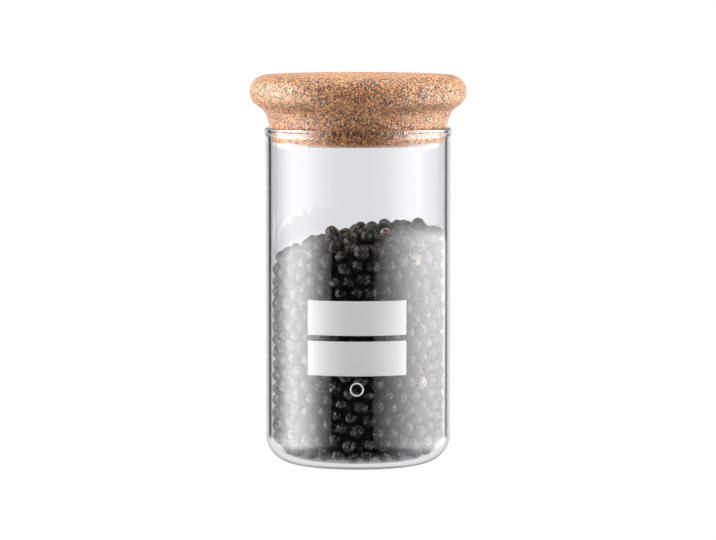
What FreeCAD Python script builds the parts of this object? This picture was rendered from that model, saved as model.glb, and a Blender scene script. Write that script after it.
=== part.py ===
"""Glass storage jar with a turned cork stopper, a printed two-panel label and a fill of peppercorns.

Millimetres, +Z up. The origin is the middle of the ring that the jar stands on, and the label faces -Y.
Every round piece is a profile drawn in radius and height, turned about the jar's axis.
"""

import FreeCAD
import Part
import math
import os
import random

# Blown glass body
jar_diameter = 59.0
jar_height = 107.4
wall_thickness = 1.6
base_thickness = 1.7
heel_radius = 9.0
foot_width = 3.0
punt_rise = 0.5
lip_swell = 0.35
lip_height = 3.0

# Cork stopper: a plug in the mouth, a neck that flares above it, a cove and a round bead to grip
plug_depth = 5.3
plug_clearance = 0.15
plug_taper = 0.45
plug_edge_radius = 0.8
neck_height = 6.1
bead_height = 10.5
bead_overhang = 5.1
bead_wrap_degrees = 60
neck_flare_degrees = 18

# Fired print on the glass: two plain panels and a small ring under them
print_thickness = 0.1
label_width = 32.4
label_base_height = 30.6
panel_height = 10.9
panel_gap = 1.8
ring_diameter = 4.4
ring_line = 0.5
ring_gap = 2.0

# Heap of peppercorns: its crown is off the axis because the jar was filled from one side
fill_clearance = 0.3
largest_grain = 5.2
grain_spread_share = 0.24
grain_pitch = 5.0
grain_stray_share = 0.32
row_wave = 4.0
row_wave_count = 2
crown_roughness = 3.0
grain_seed = 84
settling_rounds = 12
head_space = 23.2
mound_rise = 11.2
mound_shift_right = 10.5
mound_shift_back = 3.0

# How far a cutting shape runs past what it cuts, and how near two edges are joined
overrun = 1.0
joining_tolerance = 0.001

# Sizes that several pieces share
jar_radius = jar_diameter / 2
mouth_radius = jar_radius - wall_thickness
inner_heel_radius = heel_radius - wall_thickness
heel_centre_radius = jar_radius - heel_radius
plug_end_level = jar_height - plug_depth
lip_radius = (wall_thickness + lip_swell) / 2
lip_level = jar_height - lip_radius
grain_radius = largest_grain / 2
grain_wall_radius = mouth_radius - fill_clearance - grain_radius
grain_turn_radius = inner_heel_radius - fill_clearance - grain_radius
grain_floor = base_thickness + fill_clearance + grain_radius
grain_wall_foot = grain_floor + grain_turn_radius
grain_base_run = heel_centre_radius + grain_turn_radius * math.pi / 2

UP = FreeCAD.Vector(0, 0, 1)
FRONT = FreeCAD.Vector(0, -1, 0)
ORIGIN = FreeCAD.Vector(0, 0, 0)


def at(radius, height):
    """A point of a turned profile."""
    return FreeCAD.Vector(radius, 0, height)


def direction(degrees):
    """A step of length 1 in a profile. Zero degrees points away from the axis, and 90 points up."""
    turn = math.radians(degrees)
    return at(math.cos(turn), math.sin(turn))


def line(start, end):
    return Part.LineSegment(start, end).toShape()


def arc(centre, radius, start_degrees, end_degrees):
    """A circular edge of a profile, with its ends given as directions from the centre."""
    ends_and_middle = (start_degrees, (start_degrees + end_degrees) / 2, end_degrees)
    return Part.Arc(*[centre + direction(degrees) * radius for degrees in ends_and_middle]).toShape()


def ogee(start, end):
    """Two equal arcs that carry an upright wall smoothly from start out to end, upright again there."""
    run = (end.x - start.x) / 2
    rise = (end.z - start.z) / 2
    radius = (run**2 + rise**2) / (2 * run)
    sweep = math.degrees(math.asin(rise / radius))
    return [
        arc(start + at(radius, 0), radius, 180, 180 - sweep),
        arc(end - at(radius, 0), radius, -sweep, 0),
    ]


def dome_radius(base_radius, rise):
    """Radius of the sphere whose cap has this base and this rise."""
    return (base_radius**2 + rise**2) / (2 * rise)


def turned(edges, degrees=360):
    """The solid that a closed profile sweeps about the jar's axis."""
    return Part.Face(Part.Wire(edges)).revolve(ORIGIN, UP, degrees)


def make_glass_jar():
    """One wall of glass: punted base, flat foot ring, round heel, straight wall and fire-polished lip."""
    foot_inner_radius = heel_centre_radius - foot_width
    punt_radius = dome_radius(foot_inner_radius, punt_rise)
    punt_edge_degrees = math.degrees(math.acos(foot_inner_radius / punt_radius))
    inner_heel_level = base_thickness + inner_heel_radius
    lip_foot = at(jar_radius, jar_height - lip_height)
    lip_edge = at(jar_radius + lip_swell, lip_level)
    return turned(
        [
            arc(at(0, punt_rise - punt_radius), punt_radius, 90, punt_edge_degrees),
            line(at(foot_inner_radius, 0), at(heel_centre_radius, 0)),
            arc(at(heel_centre_radius, heel_radius), heel_radius, -90, 0),
            line(at(jar_radius, heel_radius), lip_foot),
            *ogee(lip_foot, lip_edge),
            arc(at(mouth_radius + lip_radius, lip_level), lip_radius, 0, 180),
            line(at(mouth_radius, lip_level), at(mouth_radius, inner_heel_level)),
            arc(at(heel_centre_radius, inner_heel_level), inner_heel_radius, 0, -90),
            line(at(heel_centre_radius, base_thickness), at(0, base_thickness)),
            line(at(0, base_thickness), at(0, punt_rise)),
        ]
    )


def make_cork_lid():
    """The stopper. Its neck flares from where the lip rounds off, and its cove is the one arc that runs
    smoothly from the neck into the underside of the bead.
    """
    top = jar_height + neck_height + bead_height
    neck_radius = mouth_radius - plug_clearance
    plug_end_radius = neck_radius - plug_taper
    edge_centre = at(plug_end_radius - plug_edge_radius, plug_end_level + plug_edge_radius)
    bead_radius = bead_height / 2
    bead_centre = at(jar_radius + bead_overhang - bead_radius, top - bead_radius)

    neck_foot = at(neck_radius, lip_level)
    off_neck = direction(-neck_flare_degrees)
    off_bead = direction(-bead_wrap_degrees)
    bead_end = bead_centre + off_bead * bead_radius
    turn_share = math.cos(math.radians(bead_wrap_degrees - neck_flare_degrees))
    cove_radius = (bead_end - neck_foot).dot(off_neck) / (1 - turn_share)
    cove_centre = bead_end + off_bead * cove_radius
    neck_top = cove_centre - off_neck * cove_radius

    return turned(
        [
            line(at(0, plug_end_level), at(edge_centre.x, plug_end_level)),
            arc(edge_centre, plug_edge_radius, -90, 0),
            line(at(plug_end_radius, edge_centre.z), neck_foot),
            line(neck_foot, neck_top),
            arc(cove_centre, cove_radius, 180 - neck_flare_degrees, 180 - bead_wrap_degrees),
            arc(bead_centre, bead_radius, -bead_wrap_degrees, 90),
            line(at(bead_centre.x, top), at(0, top)),
            line(at(0, top), at(0, plug_end_level)),
        ]
    )


def make_label_panel(level):
    """A plain printed panel wrapped on the wall, centred on the front, its lower edge at this level."""
    inner = jar_radius
    outer = jar_radius + print_thickness
    top = level + panel_height
    corners = [at(inner, level), at(outer, level), at(outer, top), at(inner, top)]
    width_degrees = math.degrees(label_width / jar_radius)
    panel = turned([line(corners[i - 1], corners[i]) for i in range(len(corners))], width_degrees)
    panel.rotate(ORIGIN, UP, -90 - width_degrees / 2)
    return panel


def make_ring_mark():
    """A thin printed ring on the wall below the label: a film on the glass, kept where a tube meets it."""
    outer_radius = ring_diameter / 2
    centre = at(0, label_base_height - ring_gap - outer_radius)
    film_foot = centre - at(0, outer_radius + overrun)
    film_height = ring_diameter + 2 * overrun
    film = Part.makeCylinder(jar_radius + print_thickness, film_height, film_foot)
    film = film.cut(Part.makeCylinder(jar_radius, film_height, film_foot))
    reach = jar_radius + print_thickness + overrun
    tube = Part.makeCylinder(outer_radius, reach, centre, FRONT)
    tube = tube.cut(Part.makeCylinder(outer_radius - ring_line, reach, centre, FRONT))
    return film.common(tube)


class Grain:
    """One peppercorn in the outer layer of the heap: its centre, and the way that its showing half faces."""

    def __init__(self, centre, facing, radius):
        self.centre = centre + facing * (grain_radius - radius)
        self.facing = facing
        self.radius = radius


def swung(point, turn):
    """A point of a profile, swung round the jar's axis by an angle in radians."""
    return FreeCAD.Vector(point.x * math.cos(turn), point.x * math.sin(turn), point.z)


def heap_base(share, turn):
    """A place on the floor or the heel of the layer of grain centres, and the way that it faces."""
    run = share * grain_base_run
    past_floor = max(run - heel_centre_radius, 0)
    facing = direction(math.degrees(past_floor / grain_turn_radius) - 90)
    place = at(min(run, heel_centre_radius), grain_wall_foot) + facing * grain_turn_radius
    return swung(place, turn), swung(facing, turn)


def heap_crown(share, turn):
    """A place on the rounded top of the layer, a part of a sphere, from the wall to the axis."""
    farthest_wall = grain_wall_radius + math.hypot(mound_shift_right, mound_shift_back)
    radius = dome_radius(farthest_wall, mound_rise)
    top = plug_end_level - head_space - grain_radius
    centre = FreeCAD.Vector(mound_shift_right, mound_shift_back, top - radius)
    reach = swung(at(grain_wall_radius * (1 - share), 0), turn) - centre
    reach.z = math.sqrt(radius**2 - reach.x**2 - reach.y**2)
    return centre + reach, reach / radius


def heap_wall(share, turn):
    """A place on the upright side of the layer. Its rows rise and fall, and it ends at the crown."""
    edge = heap_crown(0, turn)[0]
    level = grain_wall_foot + share * (edge.z - grain_wall_foot)
    level += row_wave * math.sin(math.pi * share) * math.sin(row_wave_count * turn)
    return FreeCAD.Vector(edge.x, edge.y, level), swung(direction(0), turn)


def heap_edge(_, turn):
    """A place where the side meets the crown: it faces half out and half up."""
    place, up = heap_crown(0, turn)
    return place, (swung(direction(0), turn) + up).normalize()


def lay_row(grains, surface, share, drift_share, stagger_share, chance):
    """Add a row of grains round the axis, each strayed from its even place, and return their numbers.

    On the crown some grains lie deeper than others.
    """
    row_radius = surface(share, 0)[0].x
    count = max(round(2 * math.pi * row_radius / grain_pitch), 1)
    roughness = crown_roughness if surface in (heap_edge, heap_crown) else 0
    first = len(grains)
    for i in range(count):
        aside = chance.uniform(-grain_stray_share, grain_stray_share)
        along = chance.uniform(-drift_share, drift_share) if count > 1 else 0
        size_share = chance.uniform(1 - grain_spread_share, 1)
        turn = 2 * math.pi * (i + stagger_share + aside) / count
        place, facing = surface(share + along, turn)
        place.z -= roughness * chance.random()
        grains.append(Grain(place, facing, grain_radius * size_share))
    return range(first, len(grains))


def join_rows(grains, lower, upper):
    """The triangles of neighbours between two rows of numbers. Each step takes the shorter way across.

    The row in the middle of the floor or the crown has one grain, and no steps are taken along it.
    """
    lower_steps = len(lower) if len(lower) > 1 else 0
    upper_steps = len(upper) if len(upper) > 1 else 0
    triangles = []
    i = 0
    j = 0
    while i < lower_steps or j < upper_steps:
        here = lower[i % len(lower)]
        above = upper[j % len(upper)]
        next_here = lower[(i + 1) % len(lower)]
        next_above = upper[(j + 1) % len(upper)]
        way_up = (grains[next_here].centre - grains[above].centre).Length
        way_down = (grains[next_above].centre - grains[here].centre).Length
        if j == upper_steps or (i < lower_steps and way_up < way_down):
            i += 1
            triangles.append((here, next_here, above))
        else:
            j += 1
            triangles.append((here, next_above, above))
    return triangles


def settle(grains, triangles):
    """Push neighbours apart along the layer until they barely overlap, and keep them off the wall."""
    for _ in range(settling_rounds):
        for triangle in triangles:
            for k in range(3):
                one = grains[triangle[k - 1]]
                other = grains[triangle[k]]
                between = other.centre - one.centre
                overlap = one.radius + other.radius - between.Length
                if overlap > 0:
                    push = between * (overlap / between.Length / 2)
                    one.centre -= push - one.facing * push.dot(one.facing)
                    other.centre += push - other.facing * push.dot(other.facing)
    for grain in grains:
        limit = grain_wall_radius + grain_radius - grain.radius
        past_limit = max(math.hypot(grain.centre.x, grain.centre.y) - limit, 0)
        grain.centre -= swung(at(past_limit, 0), math.atan2(grain.centre.y, grain.centre.x))


def lay_grains():
    """Rows of outer grains, from the middle of the floor to the middle of the crown, and their triangles."""
    chance = random.Random(grain_seed)
    row_pitch = grain_pitch * math.sin(math.radians(60))
    base_steps = round(grain_base_run / row_pitch)
    wall_steps = round((heap_crown(0, 0)[0].z - grain_wall_foot) / row_pitch)
    crown_steps = round(grain_wall_radius / row_pitch)
    plan = [(heap_base, step, base_steps) for step in range(base_steps + 1)]
    plan += [(heap_wall, step, wall_steps) for step in range(1, wall_steps)]
    plan += [(heap_edge, 0, 1)]
    plan += [(heap_crown, step, crown_steps) for step in range(1, crown_steps + 1)]
    grains = []
    rows = []
    for surface, step, steps in plan:
        stagger_share = len(rows) % 2 / 2
        rows.append(lay_row(grains, surface, step / steps, grain_stray_share / steps, stagger_share, chance))
    triangles = []
    for i in range(1, len(rows)):
        triangles += join_rows(grains, rows[i - 1], rows[i])
    settle(grains, triangles)
    return grains, triangles


def make_peppercorns():
    """The heap as one body, with the half of each outer grain that shows.

    A grain has a top, a shoulder towards each triangle that it is part of, and sides that go down to the
    middle of the triangle, where the three grains meet.
    """
    grains, triangles = lay_grains()
    points = [grain.centre + grain.facing * grain.radius for grain in grains]
    valleys = {}
    shoulders = {}
    triangle_left_of = {}
    for triangle in triangles:
        valley = sum((grains[number].centre for number in triangle), ORIGIN) / len(triangle)
        valleys[triangle] = len(points)
        points.append(valley)
        for k, number in enumerate(triangle):
            grain = grains[number]
            slope = ((valley - grain.centre).normalize() + grain.facing).normalize()
            shoulders[number, triangle] = len(points)
            points.append(grain.centre + slope * grain.radius)
            triangle_left_of[number, triangle[(k + 1) % 3]] = triangle
    facets = []
    for (number, neighbour), left in triangle_left_of.items():
        right = triangle_left_of[neighbour, number]
        near = shoulders[number, right]
        far = shoulders[number, left]
        facets += [(number, near, far), (near, valleys[right], valleys[left]), (near, valleys[left], far)]
    print(f"peppercorns: {len(grains)} grains show, {len(facets)} facets")
    skin = Part.Shape()
    skin.makeShapeFromMesh((points, facets), joining_tolerance)
    return Part.makeSolid(skin)


pieces = {
    "glass_jar": make_glass_jar(),
    "cork_lid": make_cork_lid(),
    "label_lower_panel": make_label_panel(label_base_height),
    "label_upper_panel": make_label_panel(label_base_height + panel_height + panel_gap),
    "label_ring_mark": make_ring_mark(),
    "peppercorns": make_peppercorns(),
}

os.makedirs("parts", exist_ok=True)
for node, shape in pieces.items():
    for solid in shape.Solids:
        print(f"{node}: valid {solid.isValid()}, {solid.Volume:.0f} mm3")
    shape.exportStep(f"parts/{node}.step")
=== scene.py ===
"""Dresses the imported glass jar: clear glass, turned cork, fired print and a heap of wrinkled peppercorns.

Metres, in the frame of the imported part: +Z up, the label faces -Y, the jar stands on z = 0.
"""

import math
import random
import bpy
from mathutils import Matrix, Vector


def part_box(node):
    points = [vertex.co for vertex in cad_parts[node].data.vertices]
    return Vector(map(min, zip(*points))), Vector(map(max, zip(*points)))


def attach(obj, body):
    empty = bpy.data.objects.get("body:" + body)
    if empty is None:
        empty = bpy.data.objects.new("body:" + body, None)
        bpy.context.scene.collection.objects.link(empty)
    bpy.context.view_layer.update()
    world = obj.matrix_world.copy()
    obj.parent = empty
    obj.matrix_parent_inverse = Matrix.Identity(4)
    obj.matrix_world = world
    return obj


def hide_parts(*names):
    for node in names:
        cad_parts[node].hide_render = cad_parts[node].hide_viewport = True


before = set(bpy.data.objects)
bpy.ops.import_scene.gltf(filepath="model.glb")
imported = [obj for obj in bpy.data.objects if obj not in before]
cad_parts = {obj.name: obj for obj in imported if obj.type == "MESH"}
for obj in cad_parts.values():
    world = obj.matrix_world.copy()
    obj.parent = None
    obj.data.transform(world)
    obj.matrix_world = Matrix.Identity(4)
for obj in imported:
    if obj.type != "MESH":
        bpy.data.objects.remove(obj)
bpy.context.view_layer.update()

from types import SimpleNamespace

import bmesh
import bpy
import numpy as np
from mathutils import Vector, noise

MM = 0.001

# Sizes of the glass, outside ones read from the frame
_, jar_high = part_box("glass_jar")
lid_low, lid_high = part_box("cork_lid")
lip_swell = 0.35 * MM
lip_height = 3.0 * MM
wall_thickness = 1.6 * MM
base_thickness = 1.7 * MM
heel_radius = 9.0 * MM
foot_width = 3.0 * MM
punt_rise = 0.5 * MM
jar_height = jar_high.z
jar_radius = jar_high.x - lip_swell
mouth_radius = jar_radius - wall_thickness
heel_centre_radius = jar_radius - heel_radius
inner_heel_radius = heel_radius - wall_thickness
lip_radius = (wall_thickness + lip_swell) / 2
lip_level = jar_height - lip_radius
glass_segments = 288

# Cork stopper
plug_clearance = 0.15 * MM
plug_taper = 0.45 * MM
plug_edge_radius = 0.8 * MM
bead_height = 10.5 * MM
bead_wrap_degrees = 60
neck_flare_degrees = 18
cork_segments = 420

# What the lathe leaves in the cork: open pores in some patches, and a faint relief of granules
pore_depth = 0.16 * MM
pore_reach = 0.22
pores_per_metre = 420
pore_patches_per_metre = 150
pore_patch_threshold = 0.2
relief_depth = 0.05 * MM
relief_per_metre = 1150
top_tolerance = 0.02 * MM

# Colour of the cork: granules, the crumbs in them, soft clouds, and dark specks of bark and dust
granules_per_metre = 2200
granule_raggedness = 0.45 * MM
granule_colours = (
    (0.0, (0.05, 0.010, 0.002)),
    (0.14, (0.15, 0.040, 0.010)),
    (0.32, (0.50, 0.180, 0.052)),
    (0.60, (0.70, 0.300, 0.095)),
    (0.90, (0.86, 0.445, 0.190)),
    (1.0, (0.95, 0.60, 0.33)),
)
crumbs_per_metre = 3400
crumb_shades = (0.3, 1.75)
clouds_per_metre = 150
cloud_band = (0.35, 0.65)
cloud_shades = (0.92, 1.06)
bark_per_metre = 1000
dust_per_metre = 1800
speck_colour = (0.055, 0.017, 0.006)
speck_rarity_blur = 0.03
speck_edge_blur = 0.18
# Painted light: the plug inside the glass mouth is painted 1.4 times brighter, fading out over the last
# millimetre under the lip, in place of the light that reaches it through the glass
painted_plug_light_band = (lip_level - 1 * MM, lip_level)
painted_plug_light = 1.4
# Painted highlight: the plug's underside and rounded lower edge are mixed towards a pale colour, in place of
# the light from below that catches that edge
painted_highlight_band = (lid_low.z + 0.5 * MM, lid_low.z + 0.9 * MM)
painted_highlight_share = 0.75
painted_highlight_colour = (0.95, 0.80, 0.68)

# Finish of the cork: the turned sides shine a little, and the sanded top is matt
top_edge_band = (lid_high.z - 0.6 * MM, lid_high.z - 0.2 * MM)
turned_roughness = 0.42
sanded_roughness = 0.8
crumb_roughness = 0.1
speck_sink = -1.5
cork_bump_strength = 0.75
cork_bump_height = 0.08 * MM

# Print on the front of the jar
print_thickness = 0.085 * MM
print_softness = 0.04 * MM
panel_columns = 64
ring_line_width = 0.5 * MM
ring_mark_steps = 72
mottle_per_metre = 900
darker_white = (0.94, 0.94, 0.94)
lighter_white = (0.955, 0.955, 0.955)

# Most values of a noise texture lie between these
usual_low = 0.3
usual_high = 0.7

# Peppercorns: the outer ones lie where the part has them
fill_clearance = 0.3 * MM
largest_grain = 5.2 * MM
grain_spread_share = 0.24
grain_pitch = 5.0 * MM
grain_stray_share = 0.32
row_wave = 4.0 * MM
row_wave_count = 2
crown_roughness = 3.0 * MM
grain_seed = 84
settling_rounds = 12
head_space = 23.2 * MM
mound_rise = 11.2 * MM
mound_shift_right = 10.5 * MM
mound_shift_back = 3.0 * MM
grain_radius = largest_grain / 2
grain_wall_radius = mouth_radius - fill_clearance - grain_radius
grain_turn_radius = inner_heel_radius - fill_clearance - grain_radius
grain_floor = base_thickness + fill_clearance + grain_radius
grain_wall_foot = grain_floor + grain_turn_radius
grain_base_run = heel_centre_radius + grain_turn_radius * math.pi / 2

# Two more layers of grains behind the outer ones, with depths in grain radii
hidden_grain_share = 0.92
second_layer_depth = 1.65
third_layer_depth = 3.1
layer_subdivisions = (4, 3, 2)

# Skin of the grains: each is one of a few kinds, with hollows between wrinkles
skin_seed = 20
kind_count = 9
fewest_hollows = 38
most_hollows = 53
flattest_share = 0.88
wrinkle_angle = 0.24
hollow_depth_share = 0.20
grain_fullness = 1.03
heap_sectors = 6

# Colour of the grains: the one nearest to each pale spot is paler than all the others
pale_spots = np.array([(18.0, -18.5, 26.1), (17.5, -19.0, 64.9), (8.8, -9.2, 74.0)]) * MM
pale_tone = 1.0
usual_tone_limit = 0.97
grain_colours = (
    (0.0, (0.0025, 0.0024, 0.0023)),
    (0.5, (0.004, 0.0039, 0.0037)),
    (0.80, (0.009, 0.0087, 0.0083)),
    (usual_tone_limit, (0.036, 0.034, 0.032)),
    (pale_tone, (0.21, 0.17, 0.16)),
)
# Painted shade and highlight: the hollows between wrinkles are painted darker and the wrinkles lighter; a
# little of it is the skin's own colour, most of it stands in for shade in the hollows and highlights on the
# wrinkles
painted_hollow_shade_and_wrinkle_light = (0.2, 3.0)
pimples_per_metre = 1500
pimple_shades = (0.7, 1.3)
pimple_height = 0.30 * MM

# Floor, and a painted shadow under the jar: a disc with a fixed dim glow stands in for the part of the floor
# that lies in the jar's own shade
floor_half = 14.0
floor_shade = 0.32
floor_glow = 1.13
floor_glow_share = 0.86
patch_points = 64
patch_overhang = 1 * MM
patch_sink = 0.2 * MM
patch_glow = 0.3

# Studio around the jar: 1 is white, and heights and depths are those of a direction of length 1
backdrop_edge = (math.radians(24), math.radians(27))
ceiling_edge = (0.70, 0.80)
ceiling_glow = 2.5
ceiling_front = (-0.25, 0.05)
ceiling_front_mirrored = 0.08
ceiling_front_matt = 1.15
ground_edge = (-0.20, -0.12)
ground_front = (math.radians(95), math.radians(155))
dimmest = 0.025
plain_white = 1.08

# Lamps: upright sheets at both sides of the jar
lamp_distance = 0.5
lamp_far_end = 0.34
strip_top = 0.078
strip_image_foot = -0.55

# A strip of light is brightest at hot_y. It fades over near_width towards the camera and over far_width away
# from it. Above its edge, which slants and bows, it is dim. Lift is how much brighter its upper part is.
left_strip = SimpleNamespace(
    near=-0.78, far=0.70, hot_y=-0.06, near_width=0.30, far_width=0.18, steepness=3.0,
    brightest=6.9, edge=0.034, slant=0.008, lift=0.0,
)
right_strip = SimpleNamespace(
    near=-1.37, far=0.70, hot_y=-0.03, near_width=0.40, far_width=0.35, steepness=2.0,
    brightest=5.2, edge=0.041, slant=0.0, lift=0.16,
)

# What the strips share: they are dim under the floor, and send less light into the jar from in front
strip_edge_blur = 4 * MM
strip_bow = 0.065
strip_dim_share = 0.27
strip_lift_band = (-0.05, 0.04)
image_fade_band = (-0.42, -0.10)
image_dimmest_share = 0.12
admitted_band = (-0.45, -0.05)
admitted_least_share = 0.15

# Camera: where the photograph was taken from
camera_distance = 1.28
camera_aim_height = 61.6 * MM
camera_pitch = math.radians(4.73)
camera_turn = math.radians(0.7)
image_width_px = 716
focal_length_px = 4000
sensor_width_mm = 36.0


def arc(centre_r, centre_z, radius, start_degrees, end_degrees, steps):
    """Points of a profile on a circle, in radius and height. Zero degrees points away from the axis."""
    turns = np.radians(np.linspace(start_degrees, end_degrees, steps + 1))
    return np.column_stack([centre_r + radius * np.cos(turns), centre_z + radius * np.sin(turns)])


def direction(degrees):
    """A step of length 1 in a profile."""
    turn = math.radians(degrees)
    return np.array([math.cos(turn), math.sin(turn)])


def straight(start, end, steps):
    """Points of a profile on a line."""
    return np.linspace(start, end, steps + 1)


def joined(*runs):
    """One profile out of runs that start where the last one ended."""
    points = [runs[0][0]]
    for run in runs:
        points.extend(run[1:])
    return np.array(points)


def dome_radius(base_radius, rise):
    """Radius of the sphere whose cap has this base and this rise."""
    return (base_radius**2 + rise**2) / (2 * rise)


def lathe(profile, segments):
    """A closed surface turned about Z from a profile that starts and ends on the axis, facing outwards."""
    rings = profile[1:-1]
    turns = np.arange(segments) * (2 * math.pi / segments)
    circle = np.column_stack([np.cos(turns), np.sin(turns)])
    verts = np.zeros((len(rings), segments, 3))
    verts[:, :, :2] = rings[:, 0][:, None, None] * circle[None]
    verts[:, :, 2] = rings[:, 1][:, None]
    verts = np.vstack([verts.reshape(-1, 3), [0, 0, profile[0, 1]], [0, 0, profile[-1, 1]]])
    first_pole = len(rings) * segments
    last_pole = first_pole + 1
    faces = []
    for k in range(len(rings) - 1):
        for i in range(segments):
            j = (i + 1) % segments
            low = k * segments
            high = low + segments
            faces.append((low + i, low + j, high + j, high + i))
    last_ring = first_pole - segments
    for i in range(segments):
        j = (i + 1) % segments
        faces.append((first_pole, j, i))
        faces.append((last_pole, last_ring + i, last_ring + j))
    return verts, faces


def mesh_piece(name, verts, faces, material, body, nodes, smooth=True):
    """A mesh object that rides on a body and stands for CAD nodes."""
    mesh = bpy.data.meshes.new(name)
    mesh.from_pydata(verts, [], faces)
    mesh.validate()
    if smooth:
        mesh.shade_smooth()
    mesh.materials.append(material)
    piece = bpy.data.objects.new(name, mesh)
    bpy.context.collection.objects.link(piece)
    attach(piece, body)
    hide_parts(*nodes)
    return piece


class Nodes:
    """Short names for building a node tree."""

    def __init__(self, tree):
        self.tree = tree
        tree.nodes.clear()

    def add(self, kind, **settings):
        node = self.tree.nodes.new(kind)
        for key, value in settings.items():
            setattr(node, key, value)
        return node

    def link(self, source, target):
        self.tree.links.new(source, target)

    def put(self, socket, value):
        """Link an output to the socket, or set the socket to a plain value."""
        if isinstance(value, bpy.types.NodeSocket):
            self.link(value, socket)
        else:
            socket.default_value = value

    def place(self):
        """Where a point of the surface is, in metres."""
        return self.add("ShaderNodeTexCoord").outputs["Object"]

    def axes(self, vector):
        """The x, y and z of a vector."""
        node = self.add("ShaderNodeSeparateXYZ")
        self.link(vector, node.inputs[0])
        return node.outputs

    def math(self, operation, *values):
        node = self.add("ShaderNodeMath", operation=operation)
        for socket, value in zip(node.inputs, values):
            self.put(socket, value)
        return node.outputs[0]

    def product(self, result, *factors):
        for factor in factors:
            result = self.math("MULTIPLY", result, factor)
        return result

    def map_range(self, value, low, high, to_low=0.0, to_high=1.0, kind="SMOOTHSTEP"):
        """Carry a value over from one range to another, and keep it inside."""
        node = self.add("ShaderNodeMapRange", interpolation_type=kind)
        settings = {"Value": value, "From Min": low, "From Max": high, "To Min": to_low, "To Max": to_high}
        for name, given in settings.items():
            self.put(node.inputs[name], given)
        return node.outputs[0]

    def ramp(self, value, *stops):
        """A colour looked up between stops, each a place and a colour."""
        node = self.add("ShaderNodeValToRGB")
        elements = node.color_ramp.elements
        while len(elements) < len(stops):
            elements.new(0.5)
        for element, (place, colour) in zip(elements, stops):
            element.position = place
            element.color = (*colour, 1)
        self.put(node.inputs[0], value)
        return node.outputs[0]

    def mix_colour(self, share, first, second, blend="MIX"):
        node = self.add("ShaderNodeMix", data_type="RGBA", blend_type=blend)
        for socket, value in zip((node.inputs[0], node.inputs[6], node.inputs[7]), (share, first, second)):
            self.put(socket, (*value, 1) if isinstance(value, tuple) else value)
        return node.outputs[2]

    def shaded(self, colour, shade):
        """A colour made darker or lighter by a plain factor."""
        return self.mix_colour(1.0, colour, shade, "MULTIPLY")

    def noise(self, scale, detail, vector):
        node = self.add("ShaderNodeTexNoise")
        node.inputs["Scale"].default_value = scale
        node.inputs["Detail"].default_value = detail
        self.link(vector, node.inputs["Vector"])
        return node.outputs

    def voronoi(self, scale, vector):
        node = self.add("ShaderNodeTexVoronoi")
        node.inputs["Scale"].default_value = scale
        self.link(vector, node.inputs["Vector"])
        return node.outputs

    def channel(self, colour, index):
        node = self.add("ShaderNodeSeparateColor")
        self.link(colour, node.inputs[0])
        return node.outputs[index]

    def bump(self, height, strength, distance):
        node = self.add("ShaderNodeBump")
        node.inputs["Strength"].default_value = strength
        node.inputs["Distance"].default_value = distance
        self.link(height, node.inputs["Height"])
        return node.outputs["Normal"]

    def glow(self, strength):
        node = self.add("ShaderNodeEmission")
        node.inputs["Strength"].default_value = strength
        return node.outputs[0]


def empty_material(name):
    """A material with an empty node tree, and the socket that takes its surface."""
    material = bpy.data.materials.new(name)
    material.use_nodes = True
    nodes = Nodes(material.node_tree)
    surface = nodes.add("ShaderNodeOutputMaterial").inputs["Surface"]
    return material, nodes, surface


def new_material(name):
    """A material with its node tree, and the shader that its look is set on."""
    material, nodes, surface = empty_material(name)
    shader = nodes.add("ShaderNodeBsdfPrincipled")
    nodes.link(shader.outputs[0], surface)
    return material, nodes, shader


def glass_material():
    """Clear glass with a trace of blue."""
    material, _, shader = new_material("clear_glass")
    shader.inputs["Base Color"].default_value = (0.985, 0.984, 1.0, 1)
    shader.inputs["Roughness"].default_value = 0.0
    shader.inputs["IOR"].default_value = 1.5
    shader.inputs["Transmission Weight"].default_value = 1.0
    return material


def ragged_place(nodes, place):
    """A place shifted a little here and there, which gives the cells of the cork ragged borders."""
    wander = nodes.noise(granules_per_metre, detail=2.0, vector=place)
    shifted = nodes.add("ShaderNodeVectorMath", operation="MULTIPLY_ADD")
    nodes.link(wander["Color"], shifted.inputs[0])
    shifted.inputs[1].default_value = (granule_raggedness, granule_raggedness, granule_raggedness)
    nodes.link(place, shifted.inputs[2])
    return shifted.outputs[0]


def specks(nodes, ragged, per_metre, channel, rarity, reach, opacity):
    """Specks in the cells whose random tone is over the rarity. They fade out from the middle of a cell."""
    cells = nodes.voronoi(per_metre, ragged)
    tone = nodes.channel(cells["Color"], channel)
    chosen = nodes.map_range(tone, rarity, rarity + speck_rarity_blur)
    faded = nodes.map_range(cells["Distance"], reach, reach + speck_edge_blur, opacity, 0.0)
    return nodes.math("MULTIPLY", chosen, faded)


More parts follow.
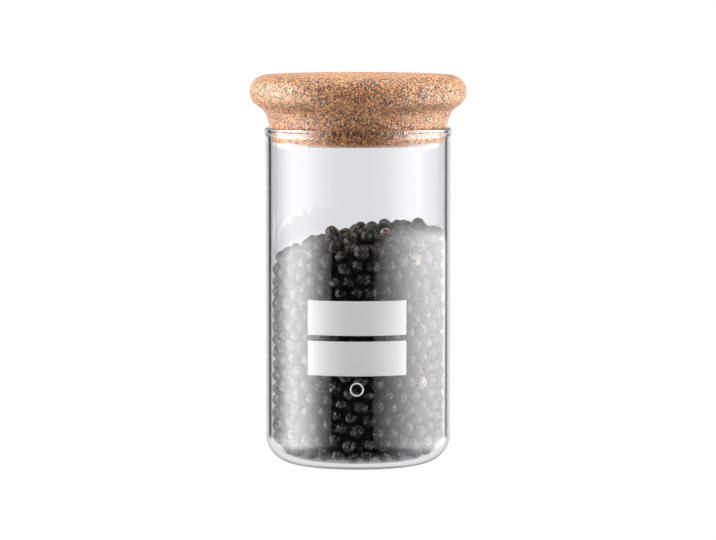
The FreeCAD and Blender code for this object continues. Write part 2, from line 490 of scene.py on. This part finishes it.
def cork_material():
    """Pressed cork: fine tan granules, browner ones among them, and dark specks of bark and dust, with
    painted light on the plug inside the mouth and a painted highlight along its lower edge.
    """
    material, nodes, shader = new_material("pressed_cork")
    place = nodes.place()
    level = nodes.axes(place)[2]
    ragged = ragged_place(nodes, place)
    granule_tone = nodes.channel(nodes.voronoi(granules_per_metre, ragged)["Color"], 0)
    crumb_tone = nodes.channel(nodes.voronoi(crumbs_per_metre, ragged)["Color"], 1)
    bark = specks(nodes, ragged, bark_per_metre, channel=2, rarity=0.70, reach=0.22, opacity=1.0)
    dust = specks(nodes, ragged, dust_per_metre, channel=1, rarity=0.80, reach=0.30, opacity=0.8)
    speck = nodes.math("MAXIMUM", bark, dust)

    colour = nodes.ramp(granule_tone, *granule_colours)
    colour = nodes.shaded(colour, nodes.map_range(crumb_tone, 0, 1, *crumb_shades, "LINEAR"))
    clouds = nodes.noise(clouds_per_metre, detail=2.0, vector=place)["Fac"]
    colour = nodes.shaded(colour, nodes.map_range(clouds, *cloud_band, *cloud_shades, "LINEAR"))
    colour = nodes.mix_colour(speck, colour, speck_colour)
    # Painted light on the plug inside the mouth
    colour = nodes.shaded(colour, nodes.map_range(level, *painted_plug_light_band, painted_plug_light, 1.0))
    # Painted highlight along the plug's lower edge
    painted_edge_light = nodes.map_range(level, *painted_highlight_band, painted_highlight_share, 0.0)
    colour = nodes.mix_colour(painted_edge_light, colour, painted_highlight_colour)
    nodes.link(colour, shader.inputs["Base Color"])

    relief = nodes.math("ADD", crumb_tone, nodes.math("MULTIPLY", speck, speck_sink))
    nodes.link(nodes.bump(relief, cork_bump_strength, cork_bump_height), shader.inputs["Normal"])
    roughness = nodes.map_range(level, *top_edge_band, turned_roughness, sanded_roughness)
    roughness = nodes.math("MULTIPLY_ADD", crumb_tone, crumb_roughness, roughness)
    nodes.link(roughness, shader.inputs["Roughness"])
    shader.inputs["Specular IOR Level"].default_value = 0.9
    return material


def print_material():
    """White enamel fired on the glass, a little uneven in shine."""
    material, nodes, shader = new_material("white_print")
    mottle = nodes.noise(mottle_per_metre, detail=4.0, vector=nodes.place())["Fac"]
    white = nodes.ramp(mottle, (usual_low, darker_white), (usual_high, lighter_white))
    nodes.link(white, shader.inputs["Base Color"])
    roughness = nodes.map_range(mottle, usual_low, usual_high, 0.28, 0.34, "LINEAR")
    nodes.link(roughness, shader.inputs["Roughness"])
    shader.inputs["Specular IOR Level"].default_value = 0.8
    nodes.link(nodes.bump(mottle, strength=0.02, distance=0.01 * MM), shader.inputs["Normal"])
    return material


def pepper_material():
    """Dried berries, each grain its own shade: nearly black in the hollows and greyer on the wrinkles, a
    little of it their own colour and most of it painted shade in the hollows and painted highlight on the
    wrinkles.
    """
    material, nodes, shader = new_material("peppercorn")
    tone = nodes.add("ShaderNodeAttribute", attribute_name="grain_tone").outputs["Fac"]
    ridge = nodes.add("ShaderNodeAttribute", attribute_name="grain_ridge").outputs["Fac"]
    pimples = nodes.noise(pimples_per_metre, detail=3.0, vector=nodes.place())["Fac"]
    # Painted shade in the hollows and painted highlight on the wrinkles, with a random tone from the pimples
    shade = nodes.product(
        nodes.map_range(ridge, 0, 1, *painted_hollow_shade_and_wrinkle_light, "LINEAR"),
        nodes.map_range(pimples, usual_low, usual_high, *pimple_shades),
    )
    colour = nodes.shaded(nodes.ramp(tone, *grain_colours), shade)
    nodes.link(colour, shader.inputs["Base Color"])
    roughness = nodes.map_range(pimples, usual_low, usual_high, 0.25, 0.40, "LINEAR")
    nodes.link(roughness, shader.inputs["Roughness"])
    nodes.link(nodes.bump(pimples, strength=1.0, distance=pimple_height), shader.inputs["Normal"])
    shader.inputs["Specular IOR Level"].default_value = 0.75
    return material


def glass_profile():
    """The jar's wall: outside from the punt up, over the lip, and down the inside."""
    foot_inner = heel_centre_radius - foot_width
    punt_radius = dome_radius(foot_inner, punt_rise)
    punt_edge = math.degrees(math.acos(foot_inner / punt_radius))
    lip_foot = jar_height - lip_height
    run = lip_swell / 2
    rise = (lip_level - lip_foot) / 2
    ogee_radius = (run**2 + rise**2) / (2 * run)
    sweep = math.degrees(math.asin(rise / ogee_radius))
    inner_heel_level = base_thickness + inner_heel_radius
    return joined(
        arc(0, punt_rise - punt_radius, punt_radius, 90, punt_edge, steps=12),
        straight((foot_inner, 0), (heel_centre_radius, 0), steps=3),
        arc(heel_centre_radius, heel_radius, heel_radius, -90, 0, steps=24),
        straight((jar_radius, heel_radius), (jar_radius, lip_foot), steps=24),
        arc(jar_radius + ogee_radius, lip_foot, ogee_radius, 180, 180 - sweep, steps=4),
        arc(jar_radius + lip_swell - ogee_radius, lip_level, ogee_radius, -sweep, 0, steps=4),
        arc(mouth_radius + lip_radius, lip_level, lip_radius, 0, 180, steps=20),
        straight((mouth_radius, lip_level), (mouth_radius, inner_heel_level), steps=24),
        arc(heel_centre_radius, inner_heel_level, inner_heel_radius, 0, -90, steps=20),
        straight((heel_centre_radius, base_thickness), (0, base_thickness), steps=8),
    )


def make_glass():
    """The jar's wall as one closed surface."""
    verts, faces = lathe(glass_profile(), glass_segments)
    mesh_piece("jar_glass", verts, faces, glass_material(), "jar", ["glass_jar"])


def cork_profile():
    """The stopper: its underside, tapered plug, flared neck and cove, and the bead with a flat top."""
    neck_radius = mouth_radius - plug_clearance
    plug_end_radius = neck_radius - plug_taper
    bead_radius = bead_height / 2
    bead_centre = np.array([lid_high.x - bead_radius, lid_high.z - bead_radius])
    neck_foot = np.array([neck_radius, lip_level])
    off_neck = direction(-neck_flare_degrees)
    off_bead = direction(-bead_wrap_degrees)
    bead_end = bead_centre + bead_radius * off_bead
    cove_radius = (bead_end - neck_foot) @ off_neck / (1 - off_bead @ off_neck)
    cove_centre = bead_end + cove_radius * off_bead
    neck_top = cove_centre - cove_radius * off_neck
    edge_r = plug_end_radius - plug_edge_radius
    edge_z = lid_low.z + plug_edge_radius
    return joined(
        straight((0, lid_low.z), (edge_r, lid_low.z), steps=16),
        arc(edge_r, edge_z, plug_edge_radius, -90, 0, steps=5),
        straight((plug_end_radius, edge_z), neck_foot, steps=10),
        straight(neck_foot, neck_top, steps=11),
        arc(*cove_centre, cove_radius, 180 - neck_flare_degrees, 180 - bead_wrap_degrees, steps=12),
        arc(*bead_centre, bead_radius, -bead_wrap_degrees, 90, steps=34),
        straight((bead_centre[0], lid_high.z), (0, lid_high.z), steps=40),
    )


def cork_pit(place):
    """How far the cork's surface is sunk at a place, by open pores and by the relief of its granules."""
    to_pore = noise.voronoi(place * pores_per_metre)[0][0]
    to_granule = noise.voronoi(place * relief_per_metre)[0][0]
    pore = max(0.0, 1 - to_pore / pore_reach) ** 0.5
    in_patch = noise.cell(place * pore_patches_per_metre) > pore_patch_threshold
    return pore_depth * pore * in_patch + relief_depth * min(1.0, to_granule)


def make_cork():
    """The stopper, sunk by its pores on the flat top and on the sides above the plug's rounded end."""
    verts, faces = lathe(cork_profile(), cork_segments)
    for k, v in enumerate(verts):
        depth = cork_pit(Vector(v))
        radius = math.hypot(v[0], v[1])
        if v[2] >= lid_high.z - top_tolerance:
            verts[k, 2] -= depth
        elif radius > 0 and v[2] > lid_low.z + plug_edge_radius:
            verts[k, :2] *= 1 - depth / radius
    mesh_piece("cork_stopper", verts, faces, cork_material(), "lid", ["cork_lid"])


def wrapped(flat_points, front_y):
    """Points given as (distance round the front, height, depth into the jar), laid on the jar's wall."""
    around, height, depth = np.asarray(flat_points, float).T
    radius = -front_y - depth
    turn = around / -front_y
    return np.column_stack([radius * np.sin(turn), -radius * np.cos(turn), height])


def swept_faces(section_count, ring, closed):
    """Faces between neighbouring sections of points, right round or with a cap at each end."""
    faces = []
    for i in range(section_count if closed else section_count - 1):
        here = i * ring
        there = (i + 1) % section_count * ring
        for k in range(ring):
            n = (k + 1) % ring
            faces.append((here + k, there + k, there + n, here + n))
    if not closed:
        last = (section_count - 1) * ring
        faces.append(tuple(range(ring)))
        faces.append(tuple(range(last + ring - 1, last - 1, -1)))
    return faces


def recalculate(piece):
    """Turn all faces of a closed mesh outwards."""
    work = bmesh.new()
    work.from_mesh(piece.data)
    bmesh.ops.recalc_face_normals(work, faces=work.faces)
    work.to_mesh(piece.data)
    work.free()


def make_label_panel(node, material):
    """A plain field of print with softened edges, just proud of the glass."""
    low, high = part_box(node)
    front = low.y
    half = -front * math.atan2(high.x, -high.y)
    edge = [(0, print_thickness), (0, print_softness), (print_softness, 0)]
    flat = []
    for column, x in enumerate(np.linspace(-half, half, panel_columns + 1)):
        sunk = print_softness if column in (0, panel_columns) else 0.0
        flat += [(x, low.z + inset, max(drop, sunk)) for inset, drop in edge]
        flat += [(x, high.z - inset, max(drop, sunk)) for inset, drop in edge[::-1]]
    verts = wrapped(flat, front)
    faces = swept_faces(panel_columns + 1, 2 * len(edge), closed=False)
    name = node.replace("label", "print")
    piece = mesh_piece(name, verts, faces, material, "jar", [node], smooth=False)
    recalculate(piece)


def make_ring_mark(material):
    """The small printed ring under the panels: a flat band bent round the wall, rounded at both edges."""
    low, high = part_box("label_ring_mark")
    outer = (high.z - low.z) / 2
    inner = outer - ring_line_width
    centre = (high.z + low.z) / 2
    section = [
        (inner, print_thickness),
        (inner, print_softness),
        (inner + print_softness, 0),
        (outer - print_softness, 0),
        (outer, print_softness),
        (outer, print_thickness),
    ]
    flat = []
    for i in range(ring_mark_steps):
        turn = 2 * math.pi * i / ring_mark_steps
        flat += [(r * math.sin(turn), centre + r * math.cos(turn), drop) for r, drop in section]
    verts = wrapped(flat, low.y)
    faces = swept_faces(ring_mark_steps, len(section), closed=True)
    piece = mesh_piece("print_ring_mark", verts, faces, material, "jar", ["label_ring_mark"])
    recalculate(piece)


class Grain:
    """One peppercorn in the outer layer of the heap: its centre, and the way that its showing half faces."""

    def __init__(self, place, facing, radius):
        self.centre = place + facing * (grain_radius - radius)
        self.facing = facing
        self.radius = radius


def swung(profile_point, turn):
    """A point of a profile, swung round the jar's axis."""
    radius, height = profile_point
    return np.array([radius * math.cos(turn), radius * math.sin(turn), height])


def heap_base(share, turn):
    """A place on the floor or the heel of the layer of grain centres, and the way that it faces."""
    run = share * grain_base_run
    past_floor = max(run - heel_centre_radius, 0)
    facing = direction(math.degrees(past_floor / grain_turn_radius) - 90)
    place = np.array([min(run, heel_centre_radius), grain_wall_foot]) + facing * grain_turn_radius
    return swung(place, turn), swung(facing, turn)


def heap_crown(share, turn):
    """A place on the rounded top of the layer, a part of a sphere, from the wall to the axis."""
    farthest_wall = grain_wall_radius + math.hypot(mound_shift_right, mound_shift_back)
    radius = dome_radius(farthest_wall, mound_rise)
    top = lid_low.z - head_space - grain_radius
    centre = np.array([mound_shift_right, mound_shift_back, top - radius])
    reach = swung((grain_wall_radius * (1 - share), 0), turn) - centre
    reach[2] = math.sqrt(radius**2 - reach[0] ** 2 - reach[1] ** 2)
    return centre + reach, reach / radius


def heap_wall(share, turn):
    """A place on the upright side of the layer, which ends where the crown cuts it. Its rows wave."""
    edge = heap_crown(0, turn)[0]
    level = grain_wall_foot + share * (edge[2] - grain_wall_foot)
    level += row_wave * math.sin(math.pi * share) * math.sin(row_wave_count * turn)
    return np.array([edge[0], edge[1], level]), swung((1, 0), turn)


def heap_edge(_, turn):
    """A place where the side meets the crown: it faces half out and half up."""
    place, up = heap_crown(0, turn)
    facing = swung((1, 0), turn) + up
    return place, facing / np.linalg.norm(facing)


def lay_row(grains, surface, share, drift_share, stagger_share, chance):
    """Add a row of grains round the axis, each strayed from its even place, and return their numbers."""
    row_radius = surface(share, 0)[0][0]
    count = max(round(2 * math.pi * row_radius / grain_pitch), 1)
    roughness = crown_roughness if surface in (heap_edge, heap_crown) else 0
    first = len(grains)
    for i in range(count):
        aside = chance.uniform(-grain_stray_share, grain_stray_share)
        along = chance.uniform(-drift_share, drift_share) if count > 1 else 0
        size_share = chance.uniform(1 - grain_spread_share, 1)
        turn = 2 * math.pi * (i + stagger_share + aside) / count
        place, facing = surface(share + along, turn)
        place[2] -= roughness * chance.random()
        grains.append(Grain(place, facing, grain_radius * size_share))
    return range(first, len(grains))


def distance(one, other):
    """How far apart the centres of two grains are."""
    return np.linalg.norm(one.centre - other.centre)


def join_rows(grains, lower, upper):
    """The triangles of neighbours between two rows of numbers. Each step takes the shorter way across.

    The row in the middle of the floor or the crown has one grain, and no steps are taken along it.
    """
    lower_steps = len(lower) if len(lower) > 1 else 0
    upper_steps = len(upper) if len(upper) > 1 else 0
    triangles = []
    i = 0
    j = 0
    while i < lower_steps or j < upper_steps:
        here = lower[i % len(lower)]
        above = upper[j % len(upper)]
        next_here = lower[(i + 1) % len(lower)]
        next_above = upper[(j + 1) % len(upper)]
        way_up = distance(grains[next_here], grains[above])
        way_down = distance(grains[next_above], grains[here])
        if j == upper_steps or (i < lower_steps and way_up < way_down):
            i += 1
            triangles.append((here, next_here, above))
        else:
            j += 1
            triangles.append((here, next_above, above))
    return triangles


def settle(grains, triangles):
    """Push neighbours apart along the layer until they barely overlap, and keep them off the wall."""
    for _ in range(settling_rounds):
        for triangle in triangles:
            for k in range(3):
                one = grains[triangle[k - 1]]
                other = grains[triangle[k]]
                gap = distance(one, other)
                overlap = one.radius + other.radius - gap
                if overlap > 0:
                    push = (other.centre - one.centre) * (overlap / gap / 2)
                    one.centre -= push - one.facing * push.dot(one.facing)
                    other.centre += push - other.facing * push.dot(other.facing)
    for grain in grains:
        limit = grain_wall_radius + grain_radius - grain.radius
        from_axis = math.hypot(grain.centre[0], grain.centre[1])
        grain.centre[:2] *= min(limit / max(from_axis, limit / 2), 1)


def lay_grains():
    """Rows of outer grains, from the middle of the floor to the middle of the crown, and their triangles."""
    chance = random.Random(grain_seed)
    row_pitch = grain_pitch * math.sin(math.radians(60))
    base_steps = round(grain_base_run / row_pitch)
    wall_steps = round((heap_crown(0, 0)[0][2] - grain_wall_foot) / row_pitch)
    crown_steps = round(grain_wall_radius / row_pitch)
    plan = [(heap_base, step, base_steps) for step in range(base_steps + 1)]
    plan += [(heap_wall, step, wall_steps) for step in range(1, wall_steps)]
    plan += [(heap_edge, 0, 1)]
    plan += [(heap_crown, step, crown_steps) for step in range(1, crown_steps + 1)]
    grains = []
    rows = []
    for surface, step, steps in plan:
        stagger_share = len(rows) % 2 / 2
        drift_share = grain_stray_share / steps
        rows.append(lay_row(grains, surface, step / steps, drift_share, stagger_share, chance))
    triangles = []
    for i in range(1, len(rows)):
        triangles += join_rows(grains, rows[i - 1], rows[i])
    settle(grains, triangles)
    return grains, triangles


def heap_layers():
    """Centres, radii and layers of all grains: the outer ones, those in their hollows, and more behind."""
    outer, triangles = lay_grains()
    hidden_radius = hidden_grain_share * grain_radius
    grains = [(grain.centre, grain.radius, 0) for grain in outer]
    for triangle in triangles[::2]:
        middle = sum(outer[number].centre for number in triangle) / 3
        inward = -sum(outer[number].facing for number in triangle) / 3
        grains.append((middle + inward * second_layer_depth * grain_radius, hidden_radius, 1))
    for grain in outer:
        grains.append((grain.centre - grain.facing * third_layer_depth * grain_radius, hidden_radius, 2))
    centres, radii, layers = zip(*grains)
    return np.array(centres), np.array(radii), layers


def unit_ball(subdivisions):
    """The points and triangles of a ball of radius 1."""
    work = bmesh.new()
    bmesh.ops.create_icosphere(work, subdivisions=subdivisions, radius=1.0)
    verts = np.array([v.co[:] for v in work.verts])
    work.verts.index_update()
    faces = np.array([[v.index for v in f.verts] for f in work.faces])
    work.free()
    return verts / np.linalg.norm(verts, axis=1)[:, None], faces


def random_directions(rng, count):
    """Directions of length 1, spread evenly by chance."""
    spots = rng.normal(size=(count, 3))
    return spots / np.linalg.norm(spots, axis=1)[:, None]


def wrinkled(ball, hollows, squash):
    """A dried berry: its skin stays up along the borders between hollows and sinks in the middle of each."""
    angles = np.arccos(np.clip(ball @ hollows.T, -1, 1))
    angles.sort(axis=1)
    border = np.clip((angles[:, 1] - angles[:, 0]) / wrinkle_angle, 0, 1)
    ridge = 1 - border * border * (3 - 2 * border)
    swell = 1 - hollow_depth_share * (1 - ridge)
    return ball * swell[:, None] * squash, ridge


def grain_kinds(rng, balls):
    """The few shapes that the grains have, each on every ball, and how high each point lies on a wrinkle."""
    kinds = []
    for _ in range(kind_count):
        count = int(rng.integers(fewest_hollows, most_hollows + 1))
        hollows = random_directions(rng, count)
        squash = rng.uniform(flattest_share, 1.0, 3)
        kinds.append([wrinkled(ball, hollows, squash) for ball, _ in balls])
    return kinds


def random_rotation(rng):
    """The matrix of a random quaternion."""
    q = rng.normal(size=4)
    q /= np.linalg.norm(q)
    w, x, y, z = q
    return np.array(
        [
            [1 - 2 * (y * y + z * z), 2 * (x * y - z * w), 2 * (x * z + y * w)],
            [2 * (x * y + z * w), 1 - 2 * (x * x + z * z), 2 * (y * z - x * w)],
            [2 * (x * z - y * w), 2 * (y * z + x * w), 1 - 2 * (x * x + y * y)],
        ]
    )


def make_peppercorns():
    """Every grain of the heap, finest where it shows against the glass or on top, in upright sectors."""
    rng = np.random.default_rng(skin_seed)
    centres, radii, layers = heap_layers()
    balls = [unit_ball(subdivisions) for subdivisions in layer_subdivisions]
    kinds = grain_kinds(rng, balls)
    pale = {int(np.argmin(((centres - spot) ** 2).sum(1))) for spot in pale_spots}
    material = pepper_material()
    turn_shares = np.arctan2(centres[:, 1], centres[:, 0]) / (2 * math.pi) % 1
    sectors = (turn_shares * heap_sectors).astype(int)
    for s in range(heap_sectors):
        verts = []
        faces = []
        tones = []
        ridges = []
        used = 0
        for i in np.flatnonzero(sectors == s):
            shape, ridge = kinds[rng.integers(len(kinds))][layers[i]]
            verts.append(shape @ random_rotation(rng).T * radii[i] * grain_fullness + centres[i])
            faces.append(balls[layers[i]][1] + used)
            tone = pale_tone if i in pale else rng.uniform(0, usual_tone_limit)
            tones.append(np.full(len(shape), tone))
            ridges.append(ridge)
            used += len(shape)
        name = f"peppercorns_sector_{s + 1}"
        piece = mesh_piece(
            name, np.vstack(verts), np.vstack(faces), material, "jar", ["peppercorns"]
        )
        for key, values in (("grain_tone", tones), ("grain_ridge", ridges)):
            attribute = piece.data.attributes.new(key, "FLOAT", "POINT")
            attribute.data.foreach_set("value", np.concatenate(values))


def flat_sheet(name, rim, material):
    """One flat face of the floor, with its material."""
    mesh = bpy.data.meshes.new(name)
    mesh.from_pydata(rim, [], [tuple(range(len(rim)))])
    mesh.materials.append(material)
    sheet = bpy.data.objects.new(name, mesh)
    bpy.context.collection.objects.link(sheet)
    return sheet


def make_floor():
    """A wide pale floor that reads white to the camera and still takes a soft shadow."""
    material, nodes, surface = empty_material("pale_floor")
    matt = nodes.add("ShaderNodeBsdfDiffuse")
    matt.inputs["Color"].default_value = (floor_shade, floor_shade, floor_shade, 1)
    seen = nodes.add("ShaderNodeLightPath").outputs["Is Camera Ray"]
    mix = nodes.add("ShaderNodeMixShader")
    nodes.link(nodes.math("MULTIPLY", seen, floor_glow_share), mix.inputs[0])
    nodes.link(matt.outputs[0], mix.inputs[1])
    nodes.link(nodes.glow(floor_glow), mix.inputs[2])
    nodes.link(mix.outputs[0], surface)
    corners = []
    for x, y in ((-1, -1), (1, -1), (1, 1), (-1, 1)):
        corners.append((x * floor_half, y * floor_half, 0))
    floor = flat_sheet("floor", corners, material)
    floor.visible_glossy = False
    floor.visible_transmission = False
    floor.visible_shadow = False


def make_painted_shadow_patch():
    """Painted shadow: a disc with a fixed dim glow right under the jar, which only the glass shows, stands
    in for the floor in the jar's own shade.
    """
    material, nodes, surface = empty_material("painted_shadow_floor")
    # Painted shadow: a fixed dim glow, not a lamp
    nodes.link(nodes.glow(patch_glow), surface)
    radius = heel_centre_radius + patch_overhang
    turns = np.linspace(0, 2 * math.pi, patch_points, endpoint=False)
    levels = np.full(patch_points, -patch_sink)
    rim = np.column_stack([radius * np.cos(turns), radius * np.sin(turns), levels])
    patch = flat_sheet("painted_shadow_patch", rim, material)


def studio_light(nodes, path):
    """A dim room with a white backdrop, a pale ceiling, and a ground that lights nothing matt."""
    x, y, z = nodes.axes(nodes.add("ShaderNodeTexCoord").outputs["Generated"])
    off_backdrop = nodes.math("ABSOLUTE", nodes.math("ARCTAN2", x, y))
    backdrop = nodes.map_range(off_backdrop, *backdrop_edge, 1.0, 0.0)
    matt = path.outputs["Is Diffuse Ray"]
    front_share = nodes.map_range(matt, 0.0, 1.0, ceiling_front_mirrored, ceiling_front_matt, "LINEAR")
    ceiling = nodes.product(
        nodes.map_range(z, *ceiling_edge, 0.0, ceiling_glow),
        nodes.map_range(y, *ceiling_front, front_share, 1.0),
    )
    ground = nodes.product(
        nodes.map_range(z, *ground_edge, 1.0, 0.0),
        nodes.map_range(off_backdrop, *ground_front, 1.0, dimmest),
        nodes.math("SUBTRACT", 1.0, matt),
    )
    brightest = nodes.math("MAXIMUM", nodes.math("MAXIMUM", backdrop, ground), ceiling)
    return nodes.math("MAXIMUM", brightest, dimmest)


def make_world():
    """The studio as the jar mirrors it. To the camera, and straight through the glass, it is all white."""
    world = bpy.data.worlds.new("studio")
    bpy.context.scene.world = world
    world.use_nodes = True
    nodes = Nodes(world.node_tree)
    path = nodes.add("ShaderNodeLightPath")
    bounces = nodes.math("ADD", path.outputs["Glossy Depth"], path.outputs["Diffuse Depth"])
    unbounced = nodes.math("LESS_THAN", bounces, 0.5)
    straight_through = nodes.math("MULTIPLY", path.outputs["Is Transmission Ray"], unbounced)
    plain = nodes.math("MAXIMUM", path.outputs["Is Camera Ray"], straight_through)
    strength = nodes.map_range(plain, 0.0, 1.0, studio_light(nodes, path), plain_white, "LINEAR")
    background = nodes.add("ShaderNodeBackground")
    nodes.link(strength, background.inputs["Strength"])
    nodes.link(background.outputs[0], nodes.add("ShaderNodeOutputWorld").inputs["Surface"])


def add_lamp(name, side, near, far, low, high):
    """An upright sheet of light that faces the jar from a side, its node tree and the socket of its glow."""
    lamp = bpy.data.lights.new(name, "AREA")
    lamp.shape = "RECTANGLE"
    lamp.size = high - low
    lamp.size_y = far - near
    lamp.energy = math.pi * lamp.size * lamp.size_y
    lamp.use_nodes = True
    nodes = Nodes(lamp.node_tree)
    glow = nodes.add("ShaderNodeEmission")
    nodes.link(glow.outputs[0], nodes.add("ShaderNodeOutputLight").inputs["Surface"])
    sheet = bpy.data.objects.new(name, lamp)
    sheet.location = (side * lamp_distance, (near + far) / 2, (low + high) / 2)
    sheet.rotation_euler = (0, side * math.pi / 2, 0)
    sheet.visible_camera = False
    bpy.context.collection.objects.link(sheet)
    return sheet, nodes, glow.inputs["Strength"]


def faded_along(nodes, from_hot, strip):
    """The brightness of a strip along its length: 1 at its hot place, and less at both sides of it."""
    beyond = nodes.math("GREATER_THAN", from_hot, 0.0)
    width = nodes.map_range(beyond, 0.0, 1.0, strip.near_width, strip.far_width, "LINEAR")
    along = nodes.math("DIVIDE", nodes.math("ABSOLUTE", from_hot), width)
    return nodes.math("DIVIDE", 1.0, nodes.math("ADD", nodes.math("POWER", along, strip.steepness), 1.0))


def dimmed_above(nodes, from_hot, z, strip):
    """The brightness of a strip over its height: full under its edge, and dim above it."""
    bow = nodes.math("MULTIPLY", nodes.math("POWER", from_hot, 2.0), strip_bow)
    lean = nodes.math("MULTIPLY", from_hot, strip.slant)
    straightened = nodes.math("ADD", z, nodes.math("ADD", bow, lean))
    over_edge = nodes.math("SUBTRACT", straightened, strip.edge)
    dim = strip_dim_share * strip.brightest
    return nodes.map_range(over_edge, -strip_edge_blur, strip_edge_blur, strip.brightest, dim)


def admitted(nodes, y):
    """The share of a strip's light that goes into the jar, which is less from in front of it."""
    into_jar = nodes.add("ShaderNodeLightPath").outputs["Is Transmission Ray"]
    inside_share = nodes.map_range(y, *admitted_band, admitted_least_share, 1.0)
    return nodes.map_range(into_jar, 0.0, 1.0, 1.0, inside_share, "LINEAR")


def strip_glow(nodes, strip):
    """The brightness of a strip: highest beside the jar, dim above its edge and far under the floor."""
    _, y, z = nodes.axes(nodes.add("ShaderNodeNewGeometry").outputs["Position"])
    from_hot = nodes.math("SUBTRACT", y, strip.hot_y)
    return nodes.product(
        faded_along(nodes, from_hot, strip),
        dimmed_above(nodes, from_hot, z, strip),
        nodes.map_range(z, *image_fade_band, image_dimmest_share, 1.0),
        nodes.map_range(z, *strip_lift_band, 1.0 - strip.lift, 1.0 + strip.lift, "LINEAR"),
        admitted(nodes, y),
    )


def make_strip(name, side, strip):
    """The light that the wall mirrors, and its image in the floor, which lights nothing matt."""
    _, nodes, strength = add_lamp(name, side, strip.near, strip.far, low=0.0, high=strip_top)
    nodes.link(strip_glow(nodes, strip), strength)
    image, nodes, strength = add_lamp(
        name + "_image", side, strip.near, strip.far, low=strip_image_foot, high=0.0
    )
    nodes.link(strip_glow(nodes, strip), strength)
    image.visible_diffuse = False


def make_softbox(name, side, brightness):
    """A broad lamp over the strip that lights the cork and the heap, and that nothing mirrors."""
    sheet, _, strength = add_lamp(name, side, near=-0.22, far=lamp_far_end, low=strip_top, high=0.40)
    strength.default_value = brightness
    sheet.visible_glossy = False


def make_shine(name, side, brightness):
    """The pale gloss that a lamp beside the jar leaves on the cork. It gives no matt light."""
    sheet, _, strength = add_lamp(name, side, near=-0.11, far=lamp_far_end, low=strip_top, high=0.48)
    strength.default_value = brightness
    sheet.visible_diffuse = False
    sheet.visible_transmission = False


def make_camera():
    """The view of the photograph."""
    camera = bpy.data.objects.new("camera", bpy.data.cameras.new("camera"))
    camera.data.sensor_width = sensor_width_mm
    camera.data.lens = sensor_width_mm * focal_length_px / image_width_px
    camera.data.clip_end = 100
    reach = camera_distance * math.cos(camera_pitch)
    camera.location = (
        reach * math.sin(camera_turn),
        -reach * math.cos(camera_turn),
        camera_aim_height + camera_distance * math.sin(camera_pitch),
    )
    camera.rotation_euler = (math.pi / 2 - camera_pitch, 0, camera_turn)
    bpy.context.collection.objects.link(camera)
    bpy.context.scene.camera = camera


make_glass()
make_cork()
white_print = print_material()
make_label_panel("label_lower_panel", white_print)
make_label_panel("label_upper_panel", white_print)
make_ring_mark(white_print)
make_peppercorns()

make_floor()
make_painted_shadow_patch()
make_world()
make_strip("left_strip", -1, left_strip)
make_strip("right_strip", 1, right_strip)
make_softbox("left_softbox", -1, brightness=5.4)
make_softbox("right_softbox", 1, brightness=5.0)
make_shine("left_shine", -1, brightness=13.0)
make_shine("right_shine", 1, brightness=12.0)
make_camera()
bpy.context.scene.view_settings.view_transform = "Standard"
